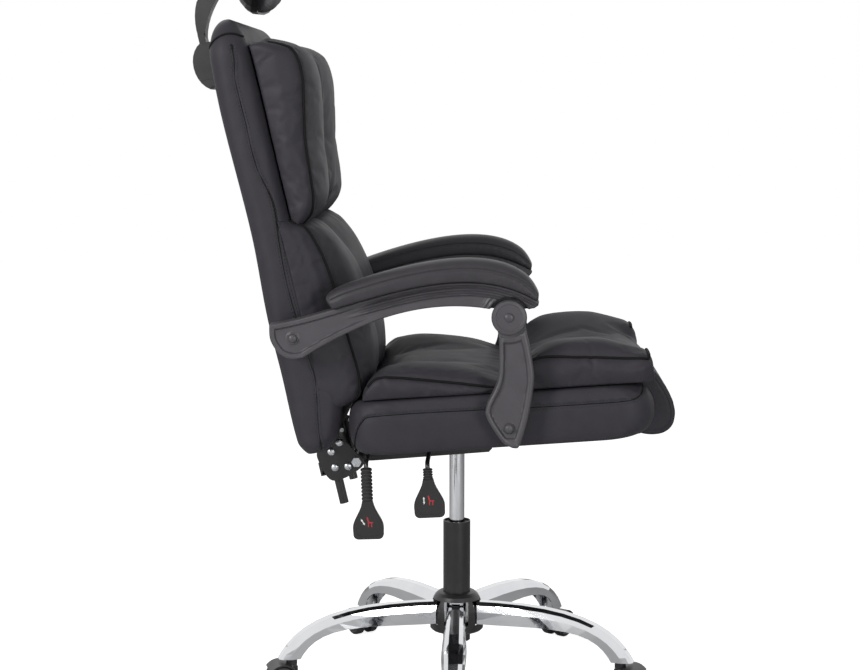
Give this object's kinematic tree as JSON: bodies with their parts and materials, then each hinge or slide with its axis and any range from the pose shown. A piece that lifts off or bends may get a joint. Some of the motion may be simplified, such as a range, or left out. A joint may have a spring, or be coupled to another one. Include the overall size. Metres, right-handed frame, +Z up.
{
  "type": "office chair",
  "caption": "High-back reclining office chair with padded seat and pillows, linked armrests, a headrest, a gas lift and a five-leg castor base.",
  "frame": {"origin": "on the floor, on the column's swivel axis", "axes": "+X is the chair's front, +Y the sitter's left, +Z up along the column"},
  "size_m": [0.8592, 0.676, 1.3651],
  "materials": {
    "chrome": "polished",
    "steel": "satin",
    "black_steel": "satin",
    "arm_plastic": "matte",
    "black_plastic": "satin",
    "sleeve_rubber": "matte",
    "paddle_plastic": "gloss",
    "upholstery": "satin",
    "arm_pad": "satin",
    "plywood": "matte"
  },
  "bodies": {
    "base": {"star_base": "chrome", "castor_stems": "steel", "hub_cover": "black_plastic", "column_tube": "black_steel", "column_bush": "black_plastic"},
    "lift_rod": {"piston_rod": "steel"},
    "seat": {"pressure_tube": "chrome", "seat_mechanism": "black_steel", "mechanism_bolts": "steel", "seat_board": "plywood", "seat_box": "upholstery", "seat_top_pad": "upholstery", "recline_axle": "steel", "post_bolts": "black_steel"},
    "back": {"back_bracket": "black_steel", "bracket_bolts": "steel", "back_frame": "black_steel", "back_cushion": "upholstery", "upper_pillow": "upholstery", "lumbar_pillow": "upholstery", "headrest_mount": "black_plastic", "arm_bolts": "black_steel"},
    "headrest_arm": {"headrest_arm": "black_steel", "headrest_pin": "steel"},
    "headrest": {"headrest_shell": "black_plastic", "headrest_cushion": "upholstery"},
    "arm_left": {"arm_frame_left": "arm_plastic", "arm_pad_left": "arm_pad"},
    "arm_right": {"arm_frame_right": "arm_plastic", "arm_pad_right": "arm_pad"},
    "post_left": {"arm_post_left": "arm_plastic", "elbow_cap_left": "arm_plastic"},
    "post_right": {"arm_post_right": "arm_plastic", "elbow_cap_right": "arm_plastic"},
    "lift_lever": {"lift_lever_rod": "black_steel", "lift_lever_sleeve": "sleeve_rubber", "lift_lever_paddle": "paddle_plastic"},
    "recline_lever": {"recline_lever_rod": "black_steel", "recline_lever_sleeve": "sleeve_rubber", "recline_lever_paddle": "paddle_plastic"},
    "castor_1": {"castor_hood_1": "black_plastic", "castor_axle_1": "steel"},
    "wheel_1a": {"castor_wheel_1a": "black_plastic"},
    "wheel_1b": {"castor_wheel_1b": "black_plastic"},
    "castor_2": {"castor_hood_2": "black_plastic", "castor_axle_2": "steel"},
    "wheel_2a": {"castor_wheel_2a": "black_plastic"},
    "wheel_2b": {"castor_wheel_2b": "black_plastic"},
    "castor_3": {"castor_hood_3": "black_plastic", "castor_axle_3": "steel"},
    "wheel_3a": {"castor_wheel_3a": "black_plastic"},
    "wheel_3b": {"castor_wheel_3b": "black_plastic"},
    "castor_4": {"castor_hood_4": "black_plastic", "castor_axle_4": "steel"},
    "wheel_4a": {"castor_wheel_4a": "black_plastic"},
    "wheel_4b": {"castor_wheel_4b": "black_plastic"},
    "castor_5": {"castor_hood_5": "black_plastic", "castor_axle_5": "steel"},
    "wheel_5a": {"castor_wheel_5a": "black_plastic"},
    "wheel_5b": {"castor_wheel_5b": "black_plastic"}
  },
  "joints": [
    {"name": "seat_swivel", "type": "hinge", "parent": "base", "child": "lift_rod", "pos_m": [0, 0, 0.2], "axis": [0, 0, 1], "continuous": true},
    {"name": "seat_lift", "type": "slide", "parent": "lift_rod", "child": "seat", "axis": [0, 0, 1], "range_m": [-0.1, 0.01]},
    {"name": "back_recline", "type": "hinge", "parent": "seat", "child": "back", "pos_m": [-0.17511, 0, 0.42605], "axis": [0, -1, 0], "range_deg": [0, 33]},
    {"name": "headrest_slide", "type": "slide", "parent": "back", "child": "headrest_arm", "axis": [-0.225, 0, 0.9744], "range_m": [0, 0.05]},
    {"name": "headrest_tilt", "type": "hinge", "parent": "headrest_arm", "child": "headrest", "pos_m": [-0.41521, 0, 1.27925], "axis": [0, -1, 0], "range_deg": [-15, 20]},
    {"name": "lift_lever_pull", "type": "hinge", "parent": "seat", "child": "lift_lever", "pos_m": [-0.047, -0.0572, 0.441], "axis": [-0.9986, 0, -0.0523], "range_deg": [0, 8], "stiffness_Nm_per_rad": 1, "springref_deg": -5.73},
    {"name": "recline_lever_pull", "type": "hinge", "parent": "seat", "child": "recline_lever", "pos_m": [-0.153, -0.0572, 0.441], "axis": [-0.9994, 0, -0.0349], "range_deg": [0, 6], "stiffness_Nm_per_rad": 1, "springref_deg": -5.73},
    {"name": "arm_left_fold", "type": "hinge", "parent": "back", "child": "arm_left", "pos_m": [-0.2669, 0.282, 0.66795], "axis": [0, -1, 0], "range_deg": [-26.4, 0]},
    {"name": "post_left_fold", "type": "hinge", "parent": "seat", "child": "post_left", "pos_m": [0.09296, 0.278, 0.51693], "axis": [0, -1, 0], "range_deg": [0, 42.1]},
    {"name": "arm_right_fold", "type": "hinge", "parent": "back", "child": "arm_right", "pos_m": [-0.2669, -0.282, 0.66795], "axis": [0, -1, 0], "range_deg": [-26.4, 0]},
    {"name": "post_right_fold", "type": "hinge", "parent": "seat", "child": "post_right", "pos_m": [0.09296, -0.278, 0.51693], "axis": [0, -1, 0], "range_deg": [0, 42.1]},
    {"name": "castor_1_swivel", "type": "hinge", "parent": "base", "child": "castor_1", "pos_m": [0, -0.312, 0.05], "axis": [0, 0, 1], "continuous": true},
    {"name": "wheel_1a_roll", "type": "hinge", "parent": "castor_1", "child": "wheel_1a", "pos_m": [0, -0.332, 0.025], "axis": [1, 0, 0], "continuous": true},
    {"name": "wheel_1b_roll", "type": "hinge", "parent": "castor_1", "child": "wheel_1b", "pos_m": [0, -0.332, 0.025], "axis": [1, 0, 0], "continuous": true},
    {"name": "castor_2_swivel", "type": "hinge", "parent": "base", "child": "castor_2", "pos_m": [0.29673, -0.09641, 0.05], "axis": [0, 0, 1], "continuous": true},
    {"name": "wheel_2a_roll", "type": "hinge", "parent": "castor_2", "child": "wheel_2a", "pos_m": [0.31575, -0.10259, 0.025], "axis": [0.309, 0.9511, 0], "continuous": true},
    {"name": "wheel_2b_roll", "type": "hinge", "parent": "castor_2", "child": "wheel_2b", "pos_m": [0.31575, -0.10259, 0.025], "axis": [0.309, 0.9511, 0], "continuous": true},
    {"name": "castor_3_swivel", "type": "hinge", "parent": "base", "child": "castor_3", "pos_m": [0.18339, 0.25241, 0.05], "axis": [0, 0, 1], "continuous": true},
    {"name": "wheel_3a_roll", "type": "hinge", "parent": "castor_3", "child": "wheel_3a", "pos_m": [0.19514, 0.26859, 0.025], "axis": [-0.809, 0.5878, 0], "continuous": true},
    {"name": "wheel_3b_roll", "type": "hinge", "parent": "castor_3", "child": "wheel_3b", "pos_m": [0.19514, 0.26859, 0.025], "axis": [-0.809, 0.5878, 0], "continuous": true},
    {"name": "castor_4_swivel", "type": "hinge", "parent": "base", "child": "castor_4", "pos_m": [-0.18339, 0.25241, 0.05], "axis": [0, 0, 1], "continuous": true},
    {"name": "wheel_4a_roll", "type": "hinge", "parent": "castor_4", "child": "wheel_4a", "pos_m": [-0.19514, 0.26859, 0.025], "axis": [-0.809, -0.5878, 0], "continuous": true},
    {"name": "wheel_4b_roll", "type": "hinge", "parent": "castor_4", "child": "wheel_4b", "pos_m": [-0.19514, 0.26859, 0.025], "axis": [-0.809, -0.5878, 0], "continuous": true},
    {"name": "castor_5_swivel", "type": "hinge", "parent": "base", "child": "castor_5", "pos_m": [-0.29673, -0.09641, 0.05], "axis": [0, 0, 1], "continuous": true},
    {"name": "wheel_5a_roll", "type": "hinge", "parent": "castor_5", "child": "wheel_5a", "pos_m": [-0.31575, -0.10259, 0.025], "axis": [0.309, -0.9511, 0], "continuous": true},
    {"name": "wheel_5b_roll", "type": "hinge", "parent": "castor_5", "child": "wheel_5b", "pos_m": [-0.31575, -0.10259, 0.025], "axis": [0.309, -0.9511, 0], "continuous": true}
  ],
  "couplings": [
    {"joint": "arm_left_fold", "follows": "back_recline", "ratio": -0.791},
    {"joint": "post_left_fold", "follows": "back_recline", "ratio": 1.268},
    {"joint": "arm_right_fold", "follows": "back_recline", "ratio": -0.791},
    {"joint": "post_right_fold", "follows": "back_recline", "ratio": 1.268}
  ]
}
